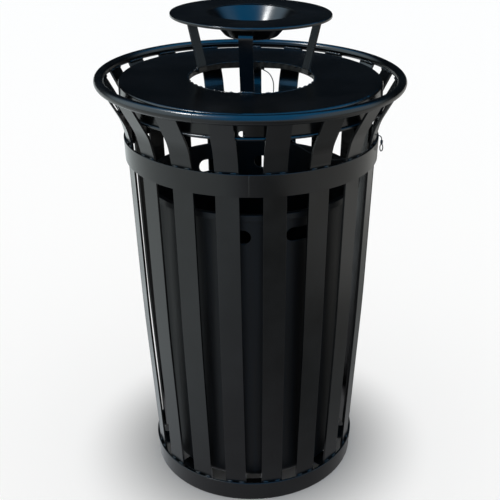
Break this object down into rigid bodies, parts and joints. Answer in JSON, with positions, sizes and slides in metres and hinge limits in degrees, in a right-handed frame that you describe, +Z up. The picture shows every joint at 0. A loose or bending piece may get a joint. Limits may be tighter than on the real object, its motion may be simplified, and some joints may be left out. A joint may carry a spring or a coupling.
{
  "type": "litter bin",
  "caption": "Round outdoor litter bin of upright flat steel slats, with a flared top ring, a lift-off lid under a raised ash bowl on legs, and a lift-out plastic liner.",
  "frame": {"origin": "on the ground under the middle of the base band", "axes": "+Z up; the bin's front, where one leg of the ash top stands, faces -Y"},
  "size_m": [0.7111, 0.7112, 1.1585],
  "materials": {
    "black_paint": "gloss black powder coat on welded steel",
    "liner_plastic": "black moulded polyethylene with a soft sheen",
    "wire_rope": "thin wire rope in a black vinyl sheath",
    "crimp_metal": "dull crimped sleeve"
  },
  "bodies": {
    "frame": {"top_ring": "black_paint", "upper_band": "black_paint", "base_band": "black_paint", "rest_bar": "black_paint", "rest_stub_left": "black_paint", "rest_stub_right": "black_paint", "lid_rest_tabs": "black_paint", "slat_01": "black_paint", "slat_02": "black_paint", "slat_03": "black_paint", "slat_04": "black_paint", "slat_05": "black_paint", "slat_06": "black_paint", "slat_07": "black_paint", "slat_08": "black_paint", "slat_09": "black_paint", "slat_10": "black_paint", "slat_11": "black_paint", "slat_12": "black_paint", "slat_13": "black_paint", "slat_14": "black_paint", "slat_15": "black_paint", "slat_16": "black_paint", "slat_17": "black_paint", "slat_18": "black_paint", "slat_19": "black_paint", "anchor_tab_1": "black_paint", "anchor_tab_2": "black_paint", "anchor_tab_3": "black_paint", "anchor_tab_4": "black_paint"},
    "lid": {"lid_shell": "black_paint", "lid_bead": "black_paint", "opening_collar": "black_paint", "leg_front": "black_paint", "leg_right": "black_paint", "leg_left": "black_paint", "ash_disc": "black_paint", "ash_bowl": "black_paint", "tether_anchor": "black_paint", "tether_cable": "wire_rope", "tether_sleeve": "crimp_metal", "tether_loop": "wire_rope"},
    "liner": {"liner": "liner_plastic"}
  },
  "joints": [
    {"name": "lid_lift", "type": "slide", "parent": "frame", "child": "lid", "axis": [0, 0, 1], "range_m": [0, 1.25]},
    {"name": "liner_lift", "type": "slide", "parent": "frame", "child": "liner", "axis": [0, 0, 1], "range_m": [0, 1]}
  ],
  "couplings": [
    {"joint": "liner_lift", "follows": "lid_lift", "ratio": 0.8}
  ]
}
